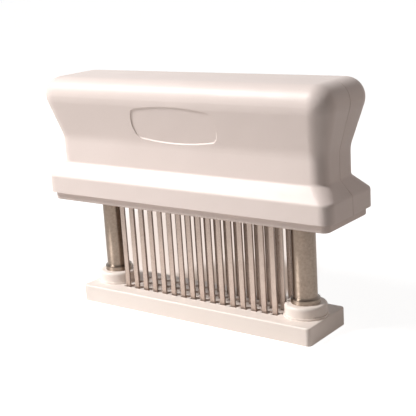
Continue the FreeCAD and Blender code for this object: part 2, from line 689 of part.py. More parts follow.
clamp_screws = [
    screw(f"clamp_screw_{index}", "sizes.clamp_screw_radius",
          "sizes.clamp_screw_length - sizes.stop_gap",
          "sizes.clamp_screw_head_radius", "sizes.clamp_screw_head_height",
          f"{sx} * {CLAMP_X}", f"{sy} * {CLAMP_Y}", Z_CLAMP_TOP, head_up=True)
    for index, (sx, sy) in enumerate(CORNERS)]
keep(joined("Part::Compound", "clamp_screws", clamp_screws))

# Blades: three rows of flat steel blades, each with a wide head and a point ground on both faces
for name, place_in_rows in (("front_blades", "-1"), ("middle_blades", "0"), ("back_blades", "1")):
    blades = new_body(name)
    blades.AllowCompound = True
    face = new_sketch(blades, f"{name}_face", "XZ_Plane")
    x = f"(-{ROW_LENGTH} / 2)"
    half, head_half = "sizes.blade_width / 2", "sizes.blade_head_width / 2"
    shoulder = f"({Z_BLOCK_TOP} - sizes.blade_head_height)"
    tip_top = "(sizes.blade_tip_height + sizes.blade_tip_length)"
    add_polygon(face, [
        (f"{x} - {head_half}", Z_BLOCK_TOP), (f"{x} - {head_half}", shoulder),
        (f"{x} - {half}", shoulder), (f"{x} - {half}", tip_top), (x, "sizes.blade_tip_height"),
        (f"{x} + {half}", tip_top), (f"{x} + {half}", shoulder),
        (f"{x} + {head_half}", shoulder), (f"{x} + {head_half}", Z_BLOCK_TOP)])
    blank = pad(blades, face, f"{name}_blank", "sizes.blade_thickness", both_ways=True)
    pattern(blades, f"{name}_row", blank, "X_Axis", ROW_LENGTH, "sizes.blades_per_row")
    bevel = new_sketch(blades, f"{name}_bevel", "YZ_Plane")
    bevel_top = "(sizes.blade_tip_height + sizes.blade_bevel_length)"
    for sign in ("-1", "1"):
        outer, edge = f"{sign} * sizes.blade_thickness", f"{sign} * sizes.blade_edge / 2"
        add_polygon(bevel, [(edge, "sizes.blade_tip_height"),
                            (f"{sign} * sizes.blade_thickness / 2", bevel_top),
                            (outer, bevel_top), (outer, "sizes.blade_tip_height")])
    pocket(blades, bevel, f"{name}_ground", f"2 * {ROW_LENGTH}", both_ways=True)
    place(blades, "0", f"{place_in_rows} * sizes.row_spacing", "0")
    keep(blades)


def handle_form(name, inset, bottom, rounded):
    """The handle's outer form, or the same form drawn in by an inset on every side."""
    form = new_body(name)
    plans = {
        "flange": ("0", "sizes.flange_corner"),
        "waist": ("sizes.waist_inset", "sizes.waist_corner"),
        "bulge": ("0", "sizes.bulge_corner"),
    }

    def section(kind, label, height):
        own_inset, corner = plans[kind]
        sketch = new_sketch(form, f"{name}_{label}", "XY_Plane", height)
        add_rounded_rectangle(sketch, f"sizes.handle_length - 2 * ({own_inset} + {inset})",
                              f"sizes.handle_width - 2 * ({own_inset} + {inset})",
                              f"{corner} - {inset}")
        return sketch

    def loft(label, low, high):
        feature = form.newObject("PartDesign::AdditiveLoft", f"{name}_{label}")
        feature.Profile = low
        feature.Sections = [high]
        feature.Ruled = True
        doc.recompute()
        return feature

    pad(form, section("flange", "flange_foot", bottom), f"{name}_band", f"{Z_BAND} - {bottom}")
    loft("lower_slope", section("flange", "band_top", Z_BAND), section("waist", "waist_foot", Z_WAIST))
    pad(form, section("waist", "waist_plan", Z_WAIST), f"{name}_waist", "sizes.waist_height")
    loft("upper_slope", section("waist", "slope_foot", Z_SLOPE), section("bulge", "slope_top", Z_BULGE))
    last = pad(form, section("bulge", "crown_plan", Z_BULGE), f"{name}_crown",
               f"sizes.crown_height - {inset}")
    rounds = [("bulge_round", Z_BULGE, f"sizes.bulge_round - {inset}"),
              ("slope_round", Z_SLOPE, f"sizes.waist_round + {inset}"),
              ("foot_round", Z_WAIST, f"sizes.lower_slope_round + {inset}"),
              ("band_round", Z_BAND, f"sizes.flange_round - {inset}")] if rounded else []
    rounds.append(("crown_round", f"{Z_TOP} - {inset}", f"sizes.crown_round - {inset}"))
    for label, height, radius in rounds:
        last = fillet(form, last, f"{name}_{label}", height, radius)
    return form


outer_form = handle_form("outer_form", "0", Z_FLANGE, rounded=True)
inner_form = handle_form("inner_form", "sizes.shell_wall", f"({Z_FLANGE} - sizes.shell_wall)",
                         rounded=False)
groove_form = handle_form("groove_form", "sizes.parting_groove_depth",
                          f"({Z_FLANGE} - sizes.shell_wall)", rounded=True)

# Inside the shells: plates that bear on the clamp plate, saddles round the bushes, bosses for the
# cover screws and the pegs, and a ring under the ceiling for each spring guide
moulded = []
for index, step in enumerate(("-1", "0", "1")):
    moulded.append(block(f"bearing_rib_{index}", "sizes.rib_thickness", "sizes.handle_width",
                         "sizes.rib_height", f"{step} * sizes.rib_spacing", "0", Z_CLAMP_TOP))
for side, sign in SIDES:
    moulded.append(block(f"{side}_saddle", "sizes.saddle_reach", "sizes.handle_width",
                         "sizes.saddle_height",
                         f"{sign} * ({COLUMN_X} + sizes.saddle_reach / 2 - {TUBE_R} / 2)", "0",
                         f"({Z_BUSH_TOP} - sizes.saddle_drop)"))
    moulded.append(cylinder(f"{side}_guide_ring",
                            "sizes.guide_flange_diameter / 2 + sizes.fit_gap + sizes.guide_ring_wall",
                            f"{Z_TOP} - {Z_RING}", f"{sign} * {COLUMN_X}", "0", Z_RING))
for index, (sx, sy) in enumerate(CORNERS):
    moulded.append(cylinder(f"screw_boss_{index}", "sizes.screw_boss_radius",
                            "sizes.screw_boss_height", f"{sx} * {SCREW_X}", f"{sy} * {SCREW_Y}",
                            Z_FLANGE))
JOINTS = [("-1", "sizes.joint_upper_drop"), ("0", "sizes.joint_upper_drop"),
          ("1", "sizes.joint_upper_drop"), ("-1", "sizes.joint_lower_drop"),
          ("1", "sizes.joint_lower_drop")]
for index, (step, drop) in enumerate(JOINTS):
    moulded.append(cylinder(f"joint_boss_{index}", "sizes.joint_boss_radius", "sizes.handle_width",
                            f"{step} * sizes.joint_spacing", "-sizes.handle_width / 2",
                            f"{Z_TOP} - {drop}", tilt=-90))
features = joined("Part::MultiFuse", "moulded_features", moulded)
trimmed = joined("Part::MultiCommon", "moulded_inside", [features, outer_form])
hollow = cut("hollow_handle", outer_form, inner_form)
whole = joined("Part::MultiFuse", "handle_whole", [hollow, trimmed])

openings = []
for side, sign in SIDES:
    x = f"{sign} * {COLUMN_X}"
    openings.append(cylinder(f"{side}_channel", CHANNEL_R, f"{Z_RING} - {Z_FLANGE}", x, "0", Z_FLANGE))
    openings.append(cylinder(f"{side}_ring_bore",
                             "sizes.guide_flange_diameter / 2 + sizes.fit_gap",
                             "sizes.guide_ring_depth", x, "0", Z_RING))
for index, (sx, sy) in enumerate(CORNERS):
    openings.append(cylinder(f"screw_pilot_{index}", "sizes.cover_screw_radius + sizes.thread_gap",
                             "sizes.cover_screw_length", f"{sx} * {SCREW_X}", f"{sy} * {SCREW_Y}",
                             Z_FLANGE))
skin = cut("groove_skin", outer_form, groove_form)
seam = block("seam_slab", "2 * sizes.handle_length", "sizes.parting_groove_width",
             f"2 * {Z_TOP}", "0", "0", "0")
openings.append(joined("Part::MultiCommon", "parting_groove", [skin, seam]))
bored = cut("handle_bored", whole, joined("Part::MultiFuse", "handle_openings", openings))


def panel_prism(drawn_in, height):
    """A low prism on the XY plane with the panel's outline, drawn in on all sides."""
    end_x, side_y = number("sizes.panel_length / 2"), number("sizes.panel_height / 2")
    corner_x = end_x - number("sizes.panel_end_bow") - drawn_in
    corner_y = side_y - number("sizes.panel_side_bow") - drawn_in
    end_x -= drawn_in
    side_y -= drawn_in
    corners = [Vector(-corner_x, -corner_y, 0), Vector(corner_x, -corner_y, 0),
               Vector(corner_x, corner_y, 0), Vector(-corner_x, corner_y, 0)]
    crowns = [Vector(0, -side_y, 0), Vector(end_x, 0, 0), Vector(0, side_y, 0), Vector(-end_x, 0, 0)]
    bowed = [Part.Arc(start, crown, end).toShape()
             for start, crown, end in zip(corners, crowns, corners[1:] + corners[:1])]
    prism = Part.Face(Part.Wire(bowed)).extrude(Vector(0, 0, height))
    uprights = [edge for edge in prism.Edges if edge.BoundBox.ZLength > height / 2]
    return prism.makeFillet(number("sizes.panel_corner") - drawn_in, uprights)


def panel_recess():
    """The space sunk for the panel, which narrows by the step on its way down."""
    depth, step = number("sizes.panel_depth"), number("sizes.panel_step")
    above, floor = panel_prism(0, depth), panel_prism(step, depth)
    floor.translate(Vector(0, 0, -depth))
    rims = [min(prism.Faces, key=lambda face: face.CenterOfMass.z).OuterWire
            for prism in (above, floor)]
    return above.fuse(Part.makeLoft(rims, True, True))


lean = math.atan2(number("sizes.waist_inset"), number("sizes.upper_slope_height"))
up_slope = Vector(0, -math.sin(lean), math.cos(lean))
slope_foot = Vector(0, number("sizes.waist_inset - sizes.handle_width / 2"), number(Z_SLOPE))
panel = doc.addObject("Part::Feature", "panel_recess")
panel.Shape = panel_recess()
panel.Placement = Placement(slope_foot + up_slope * number("sizes.panel_rise"),
                            Rotation(Vector(1, 0, 0), 90 + math.degrees(lean)))

halves = {}
for name, sign in (("front", "-1"), ("rear", "1")):
    room = block(f"{name}_half", "2 * sizes.handle_length", "sizes.handle_width", f"2 * {Z_TOP}",
                 "0", f"{sign} * sizes.handle_width / 2", "0")
    halves[name] = joined("Part::MultiCommon", f"{name}_blank", [bored, room])

pegs, sockets = [], [panel]
for index, (step, drop) in enumerate(JOINTS):
    x, z = f"{step} * sizes.joint_spacing", f"{Z_TOP} - {drop}"
    pegs.append(cylinder(f"peg_{index}", "sizes.joint_peg_radius", "2 * sizes.joint_peg_length",
                         x, "-sizes.joint_peg_length", z, tilt=-90))
    sockets.append(cylinder(f"peg_socket_{index}", "sizes.joint_peg_radius + sizes.running_gap",
                            "sizes.joint_peg_length + sizes.hole_gap", x,
                            "-(sizes.joint_peg_length + sizes.hole_gap)", z, tilt=-90))
keep(cut("handle_front_shell", halves["front"],
         joined("Part::MultiFuse", "front_cuts", sockets)))
keep(joined("Part::MultiFuse", "handle_rear_shell", [halves["rear"]] + pegs))

doc.recompute()

# Every object has to be sound before any file is written
for item in doc.Objects:
    if "Invalid" in item.State or "Error" in item.State:
        raise RuntimeError(f"{item.Name} failed: {item.State}")
for piece in PARTS:
    if piece.Shape.isNull() or not piece.Shape.isValid():
        raise RuntimeError(f"{piece.Label} has no valid shape")
for piece in PARTS:
    box = piece.Shape.BoundBox
    print(f"{piece.Label}: {len(piece.Shape.Solids)} solid(s), {piece.Shape.Volume:.1f} mm3, "
          f"x {box.XMin:.2f}..{box.XMax:.2f}, y {box.YMin:.2f}..{box.YMax:.2f}, "
          f"z {box.ZMin:.2f}..{box.ZMax:.2f}")
    piece.Shape.exportStep(f"parts/{piece.Label}.step")

print("travel left above the bead at full press: "
      f"{number(f'sizes.rest_height - sizes.press_travel - {Z_BEAD} - sizes.bead_flare'):.2f} mm")
print("room over the tube at full press: "
      f"{number(f'{Z_RING} - sizes.press_travel - {Z_TUBE_TOP}'):.2f} mm")
solid_height = number("sizes.spring_turns * sizes.spring_wire")
pressed = number(f"{Z_GUIDE_FLANGE} - {Z_PLUG_TOP} - sizes.press_travel")
print(f"spring pressed to {pressed:.1f} mm, solid at {solid_height:.1f} mm")
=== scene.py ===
import json
import math

import bpy
from mathutils import Matrix, Vector


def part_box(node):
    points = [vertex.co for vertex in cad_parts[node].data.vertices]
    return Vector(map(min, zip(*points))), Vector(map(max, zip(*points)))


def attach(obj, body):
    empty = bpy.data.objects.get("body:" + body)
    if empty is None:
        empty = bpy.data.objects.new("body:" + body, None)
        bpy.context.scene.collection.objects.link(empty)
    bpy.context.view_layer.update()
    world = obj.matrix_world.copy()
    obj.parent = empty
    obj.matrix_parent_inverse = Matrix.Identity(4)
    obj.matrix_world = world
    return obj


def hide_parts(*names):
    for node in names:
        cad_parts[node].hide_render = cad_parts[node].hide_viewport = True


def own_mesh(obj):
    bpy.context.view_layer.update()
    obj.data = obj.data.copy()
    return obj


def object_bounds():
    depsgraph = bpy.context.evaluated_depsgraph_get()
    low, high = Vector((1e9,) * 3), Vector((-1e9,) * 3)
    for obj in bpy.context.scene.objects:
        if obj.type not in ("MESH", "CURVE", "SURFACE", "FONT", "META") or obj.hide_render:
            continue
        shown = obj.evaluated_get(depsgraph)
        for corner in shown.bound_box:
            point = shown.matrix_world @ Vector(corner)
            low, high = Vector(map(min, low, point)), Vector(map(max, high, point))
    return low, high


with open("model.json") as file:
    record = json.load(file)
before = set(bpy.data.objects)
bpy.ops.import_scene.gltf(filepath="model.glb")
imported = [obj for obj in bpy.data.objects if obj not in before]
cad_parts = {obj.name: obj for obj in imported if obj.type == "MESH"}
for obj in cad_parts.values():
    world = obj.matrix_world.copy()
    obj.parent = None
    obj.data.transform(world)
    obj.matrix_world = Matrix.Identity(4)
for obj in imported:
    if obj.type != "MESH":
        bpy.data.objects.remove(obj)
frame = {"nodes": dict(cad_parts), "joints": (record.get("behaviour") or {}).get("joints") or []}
cad_low, cad_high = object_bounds()
nodes = frame["nodes"]
scene = bpy.context.scene

# View. The photograph was taken from the front right, a little above the handle, through a long
# lens and slightly tilted. The values come from a fit to some seventy edges of the tool.
camera_place = (0.248275, -0.321074, 0.151121)
azimuth, elevation, roll = (math.radians(angle) for angle in (37.302, 14.462, -3.619))
camera_data = bpy.data.cameras.new("photo_camera")
camera_data.sensor_width = 36.0
camera_data.lens = 84.985
back = Vector((math.sin(azimuth) * math.cos(elevation),
               -math.cos(azimuth) * math.cos(elevation), math.sin(elevation)))
right = (-back).cross(Vector((0, 0, 1))).normalized()
up = right.cross(-back)
across = right * math.cos(roll) + up * math.sin(roll)
upward = up * math.cos(roll) - right * math.sin(roll)
camera = bpy.data.objects.new("photo_camera", camera_data)
camera.matrix_world = (Matrix.Translation(camera_place)
                       @ Matrix((across, upward, back)).transposed().to_4x4())
scene.collection.objects.link(camera)
scene.camera = camera
scene.view_settings.view_transform = "Standard"


# Stage. A plain paper floor in a white surround, under a soft key lamp from high at the front left,
# a weak fill low beside it and a weaker warm lamp low at the back right. The paper glows for the
# camera; where it shows through the comb of blades the glow is warmer in one patch and dimmed in
# two ovals, a painted shadow of the handle and the base over their real one.
class Value:
    """One socket of a node tree, so that sums and products of sockets read as plain maths."""

    def __init__(self, owner, socket):
        self.owner = owner
        self.socket = socket

    def __add__(self, other):
        return self.owner.maths("ADD", self, other)

    def __sub__(self, other):
        return self.owner.maths("SUBTRACT", self, other)

    def __rsub__(self, other):
        return self.owner.maths("SUBTRACT", other, self)

    def __mul__(self, other):
        return self.owner.maths("MULTIPLY", self, other)

    def __truediv__(self, other):
        return self.owner.maths("DIVIDE", self, other)

    def __rtruediv__(self, other):
        return self.owner.maths("DIVIDE", other, self)

    __radd__ = __add__
    __rmul__ = __mul__


class Tree:
    """A node tree, with one way to add any node: its type, its settings, then its sockets."""

    def __init__(self, tree, prefix):
        self.tree = tree
        self.prefix = prefix

    def node(self, kind, settings=None, sockets=None, out=0):
        """Adds a node. A socket takes a number, a link, or a list of links that it joins."""
        node = self.tree.nodes.new(kind if "Node" in kind else self.prefix + kind)
        for name, value in (settings or {}).items():
            if name == "stops":
                ramp = node.color_ramp.elements
                while len(ramp) < len(value):
                    ramp.new(1.0)
                for stop, (place, level) in zip(ramp, value):
                    stop.position = place
                    stop.color = (level, level, level, 1.0)
            else:
                setattr(node, name, value)
        for name, value in (sockets or {}).items():
            for one in value if isinstance(value, list) else [value]:
                if isinstance(one, Value):
                    self.tree.links.new(one.socket, node.inputs[name])
                else:
                    node.inputs[name].default_value = one
        return Value(self, node.outputs[out]) if node.outputs else None

    def maths(self, operation, *terms):
        """Adds a Math node for what has no operator, such as the larger of two values."""
        return self.node("ShaderNodeMath", {"operation": operation}, dict(enumerate(terms)))

    def finish_with(self, ending, shader):
        """Links a shader to the tree's own output."""
        self.tree.links.new(shader.socket, self.tree.nodes[ending].inputs["Surface"])


class Finish(Tree):
    """A material on its way, with its surface shader and the few patterns that it is made of."""

    def __init__(self, name, **fixed):
        self.material = bpy.data.materials.new(name)
        self.material.use_nodes = True
        super().__init__(self.material.node_tree, "ShaderNode")
        self.shader = self.tree.nodes["Principled BSDF"]
        for socket, value in fixed.items():
            self.shader.inputs[socket.replace("_", " ")].default_value = value

    def place(self, scale=(1, 1, 1)):
        """Object coordinates in metres, stretched by a scale."""
        where = self.node("TexCoord", out="Object")
        return self.node("Mapping", sockets={"Vector": where, "Scale": scale})

    def noise(self, size, detail=3.0, roughness=0.5, scale=(1, 1, 1)):
        """Cloudy noise with blotches of about that size in metres."""
        return self.node("TexNoise", sockets={"Vector": self.place(scale), "Scale": 1 / size,
                                              "Detail": detail, "Roughness": roughness})

    def ramp(self, share, *stops):
        """A share turned into another by stops of place and level."""
        return self.node("ValToRGB", {"stops": stops}, {"Fac": share})

    def mix(self, share, first, second):
        """A colour between two, by a share from 0 to 1."""
        return self.node("Mix", {"data_type": "RGBA"}, {"Factor": share, 6: first, 7: second}, 2)

    def bump(self, height, distance, strength=1.0, under=None):
        """Relief of a depth in metres, over another relief if there is one."""
        sockets = {"Height": height, "Distance": distance, "Strength": strength}
        if under:
            sockets["Normal"] = under
        return self.node("Bump", sockets=sockets)

    def feed(self, **sockets):
        """Links values to the surface shader's own sockets."""
        for name, value in sockets.items():
            self.tree.links.new(value.socket, self.shader.inputs[name.replace("_", " ")])


def rgb(red, green, blue):
    """An opaque colour."""
    return (red, green, blue, 1.0)


world = bpy.data.worlds.new("studio")
world.use_nodes = True
scene.world = world
sky = Tree(world.node_tree, "ShaderNode")
to_eye = sky.node("LightPath", out="Is Camera Ray")
to_gloss = sky.node("LightPath", out="Is Glossy Ray")
to_glass = sky.node("LightPath", out="Is Transmission Ray")
seen = sky.maths("MAXIMUM", to_eye, sky.maths("MAXIMUM", to_gloss, to_glass))
ambient = sky.node("Background", sockets={"Color": rgb(1.0, 0.85, 0.76), "Strength": 0.06})
shown = sky.node("Background", sockets={"Color": rgb(1.0, 1.0, 1.0), "Strength": 1.0})
both = sky.node("MixShader", sockets={0: seen, 1: ambient, 2: shown})
sky.finish_with("World Output", both)


lamps_aim = Vector((0, 0, 0.05))


def lamp(name, place, size, watts, tint, in_gloss=True):
    """A square lamp that faces the tool, left out of its gloss if asked."""
    data = bpy.data.lights.new(name, "AREA")
    data.shape = "SQUARE"
    data.size = size
    data.energy = watts
    data.color = tint
    lamp_object = bpy.data.objects.new(name, data)
    turn = (lamps_aim - Vector(place)).to_track_quat("-Z", "Y").to_matrix().to_4x4()
    lamp_object.matrix_world = Matrix.Translation(place) @ turn
    lamp_object.visible_glossy = in_gloss
    scene.collection.objects.link(lamp_object)


lamp("key_lamp", place=(-0.54, -0.455, 0.757), size=0.26, watts=10.4, tint=(1.0, 0.99, 0.98))
lamp("fill_lamp", place=(-0.62, -0.76, 0.15), size=0.50, watts=2.9, tint=(1.0, 0.95, 0.91),
     in_gloss=False)
lamp("side_lamp", place=(0.66, 0.46, 0.12), size=0.40, watts=1.1, tint=(1.0, 0.84, 0.75),
     in_gloss=False)

floor_reach = 3.0
floor_mesh = bpy.data.meshes.new("floor")
floor_mesh.from_pydata([(-floor_reach, -floor_reach, 0), (floor_reach, -floor_reach, 0),
                        (floor_reach, floor_reach, 0), (-floor_reach, floor_reach, 0)],
                       [], [(0, 1, 2, 3)])
floor = bpy.data.objects.new("floor", floor_mesh)
scene.collection.objects.link(floor)
paper = Finish("floor_paper", Roughness=0.9)


def patch(middle, reach, fade, turn=azimuth):
    """A soft oval patch of the floor, across and along the view: 1 inside, 0 outside."""
    moved = paper.node("Mapping", {"vector_type": "TEXTURE"}, {
        "Vector": paper.node("TexCoord", out="Object"), "Location": (*middle, 0),
        "Rotation": (0, 0, turn), "Scale": (*reach, 1)})
    away = paper.node("VectorMath", {"operation": "LENGTH"}, {0: moved}, "Value")
    return 1 - paper.ramp(away, (1 - fade, 0.0), (1.0, 1.0))


paper_grey, paper_pale = rgb(0.36, 0.35, 0.34), rgb(0.66, 0.63, 0.61)
white_glow, warm_glow, painted_shadow_glow = (rgb(0.90, 0.90, 0.90), rgb(0.60, 0.49, 0.43),
                                    rgb(0.36, 0.275, 0.225))
glow_in_gloss = 0.65
# Two ovals behind the tool where the glow darkens: painted shadow of the handle and of the base.
handle_shadow = patch(middle=(-0.010, 0.042), reach=(0.036, 0.038), fade=0.3)
base_shadow = patch(middle=(-0.036, 0.023), reach=(0.042, 0.018), fade=0.3)
shadow = paper.maths("MAXIMUM", handle_shadow, base_shadow)
behind = patch(middle=(-0.075, 0.100), reach=(0.066, 0.150), fade=0.40)
in_front = patch(middle=(-0.01, -0.050), reach=(0.14, 0.09), fade=0.4, turn=0.0)
paper.feed(Base_Color=paper.mix(in_front, paper_grey, paper_pale))
to_eye = paper.node("LightPath", out="Is Camera Ray")
to_gloss = paper.node("LightPath", out="Is Glossy Ray")
glow = paper.node("Emission", sockets={
    "Color": paper.mix(shadow, paper.mix(behind, white_glow, warm_glow), painted_shadow_glow),
    "Strength": paper.maths("MAXIMUM", to_eye, to_gloss * glow_in_gloss)})
lit = paper.node("AddShader", sockets={0: Value(paper, paper.shader.outputs[0]), 1: glow})
paper.finish_with("Material Output", lit)
floor_mesh.materials.append(paper.material)


# Handle. Two moulded ABS shells, front and rear, that meet in a fine seam and are pegged together.
# The plastic is a warm white, smooth from the mould, with a soft gloss and a faint orange peel.
def warm_plastic(name, pale, deep, roughness):
    """Moulded plastic between two near shades, with faint specks, wiped gloss, sinks and peel."""
    finish = Finish(name, IOR=1.52, Specular_IOR_Level=0.5)
    speck_colour, speck_share, wear = rgb(0.62, 0.50, 0.43), 0.12, 0.08
    clouds = finish.noise(size=0.035, detail=4.0)
    grains = finish.noise(size=0.0008, detail=2.0)
    tone = finish.mix(finish.ramp(clouds, (0.3, 0.0), (0.7, 1.0)), pale, deep)
    specks = finish.ramp(grains, (0.66, 0.0), (0.74, 1.0))
    finish.feed(Base_Color=finish.mix(specks * speck_share, tone, speck_colour))
    smears = finish.noise(size=0.012, detail=5.0, roughness=0.6, scale=(0.4, 1.0, 1.6))
    finish.feed(Roughness=finish.ramp(smears, (0.35, 0.0), (0.7, 1.0)) * wear + roughness)
    sinks = finish.bump(finish.noise(size=0.014, detail=2.0), distance=0.0004, strength=0.5)
    peel = finish.bump(finish.noise(size=0.0022, detail=2.0), distance=0.00003, strength=0.5,
                       under=sinks)
    finish.feed(Normal=finish.bump(grains, distance=0.00001, strength=0.6, under=peel))
    return finish


def dress(finish, *names):
    """Gives nodes of the frame their finish."""
    for name in names:
        mesh = nodes[name].data
        mesh.materials.clear()
        mesh.materials.append(finish.material)


shell_plastic = warm_plastic("shell_abs", rgb(0.85, 0.745, 0.705), rgb(0.83, 0.725, 0.682), 0.43)
dress(shell_plastic, "handle_front_shell", "handle_rear_shell")

# Bottom cover. A flat tray in the same ABS, screwed up into the shells; the tubes and the blades
# come through it. Its colour is darker than the shells', painted shade for the shadow of the
# handle's flange.
# Darker colours here are painted shade under the flange.
cover_plastic_painted_shade = warm_plastic("cover_abs", rgb(0.76, 0.65, 0.605), rgb(0.74, 0.63, 0.585), 0.42)
dress(cover_plastic_painted_shade, "bottom_cover")

# Base. One thick ABS moulding with a boss for each column and three rows of slots for the blades.
# It is a shade whiter than the handle and a little glossier.
base_plastic = warm_plastic("base_abs", rgb(0.93, 0.845, 0.79), rgb(0.915, 0.825, 0.765), 0.38)
dress(base_plastic, "base_plate")


# Columns. Thin stainless tubes with a rolled bead that seats on the boss, satin from the grinding
# wheel: fine rings and grit run round them, and a dark line of painted shade sits in the crease
# over the bead.
def worked_steel(name, bright, dark, roughness, grain, size=0.0005, speckle=0.2, along=0.8,
                 painted_shade=None):
    """Steel with a ground grain: lines that run where the grain's scale is small, and a painted
    shade that darkens its colour by stops of height in metres."""
    finish = Finish(name, Metallic=1.0, Anisotropic=along, Anisotropic_Rotation=0.25)
    patchy, roughened, painted_shade_depth = 0.2, 0.10, 0.55
    lines = finish.noise(size, detail=3.0, roughness=0.6, scale=grain)
    specks = finish.noise(size=0.0011, detail=2.0)
    patches = finish.noise(size=0.006, detail=3.0)
    mixed = lines * (1 - patchy - speckle) + specks * speckle + patches * patchy
    share = finish.ramp(mixed, (0.40, 0.0), (0.60, 1.0))
    tone = finish.mix(share, dark, bright)
    # Painted shade: between the stops of height the colour darkens towards a deeper copy of the
    # dark tone.
    if painted_shade:
        tallest = painted_shade[-1][0]
        height = finish.node("SeparateXYZ", sockets={0: finish.place()}, out="Z") / tallest
        painted_shade_share = finish.ramp(height, *((level / tallest, amount) for level, amount in painted_shade))
        tone = finish.mix(painted_shade_share, tone, rgb(*(painted_shade_depth * channel for channel in dark[:3])))
    finish.feed(Base_Color=tone)
    finish.feed(Roughness=share * roughened + roughness)
    finish.feed(Normal=finish.bump(lines, distance=0.00002, strength=0.35))
    return finish


# Painted shade in the crease over the bead.
painted_shade_over_bead = [(0.0142, 0.0), (0.0147, 0.9), (0.0152, 0.9), (0.0158, 0.0)]
# The tube colours are low and warm for steel: a painted reflection of a dark room.
tube_steel = worked_steel("satin_tube_steel", rgb(0.41, 0.325, 0.262), rgb(0.30, 0.236, 0.189),
                          roughness=0.36, grain=(1.0, 1.0, 9.0), speckle=0.4, along=0.96,
                          painted_shade=painted_shade_over_bead)
dress(tube_steel, "left_column_tube", "right_column_tube")

# Column plugs, stop washers, clips and clamp plate. Turned and stamped steel parts out of sight:
# the plugs take the base screws, the clips and washers stop the handle at the top, and the plate
# lies over the blades' heads.
plain_steel = worked_steel("plain_steel", rgb(0.52, 0.50, 0.48), rgb(0.40, 0.38, 0.36),
                           roughness=0.34, grain=(1.0, 1.0, 1.0), size=0.0009)
dress(plain_steel, "left_column_plug", "right_column_plug", "left_stop_washer",
      "right_stop_washer", "blade_clamp_plate")
clip_steel = worked_steel("clip_spring_steel", rgb(0.24, 0.22, 0.21), rgb(0.15, 0.14, 0.135),
                          roughness=0.38, grain=(1.0, 1.0, 4.0))
dress(clip_steel, "left_retaining_clip", "right_retaining_clip")

# Bushes, spring guides and blade block. Moulded in natural acetal, slightly waxy. The bushes slide
# on the tubes, the guides hold the springs straight and the block holds the blades.
acetal = warm_plastic("natural_acetal", rgb(0.80, 0.78, 0.73), rgb(0.76, 0.74, 0.69), 0.45)
dress(acetal, "left_guide_bush", "right_guide_bush", "left_spring_guide", "right_spring_guide",
      "blade_block")


# Return springs. Oiled music wire, thirty turns in each tube, from the plug up to the guide under
# the handle's ceiling.
class Recipe(Tree):
    """A geometry tree on its way, with named sizes going in and one plain mesh coming out."""

    def __init__(self, name, **sizes):
        super().__init__(bpy.data.node_groups.new(name, "GeometryNodeTree"), "GeometryNode")
        self.name = name
        self.sizes = sizes
        self.entries = {}
        face = self.tree.interface
        face.new_socket("Geometry", in_out="OUTPUT", socket_type="NodeSocketGeometry")
        for label, value in sizes.items():
            kind = "NodeSocketInt" if isinstance(value, int) else "NodeSocketFloat"
            entry = face.new_socket(label, in_out="INPUT", socket_type=kind)
            self.entries[label] = entry.identifier
        self.entry = self.node("NodeGroupInput").socket.node

    def size(self, label):
        """One of the named sizes."""
        return Value(self, self.entry.outputs[label])

    def vector(self, x=0.0, y=0.0, z=0.0):
        """A vector of three numbers or links."""
        return self.node("ShaderNodeCombineXYZ", sockets={"X": x, "Y": y, "Z": z})

    def make(self, geometry, finish):
        """Runs the tree, and returns its mesh as a plain object at the origin."""
        whole = self.node("RealizeInstances", sockets={"Geometry": geometry})
        coated = self.node("SetMaterial", sockets={"Geometry": whole, "Material": finish.material})
        self.node("NodeGroupOutput", sockets={"Geometry": coated})
        carrier = bpy.data.objects.new(self.name, bpy.data.meshes.new(self.name))
        scene.collection.objects.link(carrier)
        modifier = carrier.modifiers.new(self.name, "NODES")
        modifier.node_group = self.tree
        for label, identifier in self.entries.items():
            modifier[identifier] = self.sizes[label]
        ready = carrier.evaluated_get(bpy.context.evaluated_depsgraph_get())
        mesh = bpy.data.meshes.new_from_object(ready)
        carrier.modifiers.remove(modifier)
        carrier.data = mesh
        return carrier


spring_steel = worked_steel("spring_wire", rgb(0.30, 0.28, 0.26), rgb(0.17, 0.16, 0.15),
                            roughness=0.30, grain=(3.0, 3.0, 1.0), size=0.0006)
wire_radius = 0.00045
press = next(joint for joint in frame["joints"] if joint["name"] == "handle_press")
travel = max(press["range_m"])
for side in ("left", "right"):
    low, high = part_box(f"{side}_return_spring")
    coil = Recipe(f"{side}_spring_coil", turns=30.0, wire=wire_radius,
                  middle=(high.x - low.x) / 2 - wire_radius,
                  length=high.z - low.z - 2 * wire_radius)
    turns = coil.node("CurveSpiral", sockets={
        "Resolution": 28, "Rotations": coil.size("turns"), "Start Radius": coil.size("middle"),
        "End Radius": coil.size("middle"), "Height": coil.size("length")})
    wire = coil.node("CurvePrimitiveCircle", sockets={"Resolution": 8, "Radius": coil.size("wire")})
    tube = coil.node("CurveToMesh", sockets={"Curve": turns, "Profile Curve": wire,
                                             "Fill Caps": True})
    stood = coil.node("Transform", sockets={"Geometry": tube, "Translation": (
        (low.x + high.x) / 2, 0.0, low.z + wire_radius)})
    smooth = coil.node("SetShadeSmooth", sockets={"Geometry": stood, "Shade Smooth": True})
    spring = coil.make(smooth, spring_steel)
    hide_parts(f"{side}_return_spring")
    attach(spring, "base")
    1 - travel / (high.z - low.z)
    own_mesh(spring)

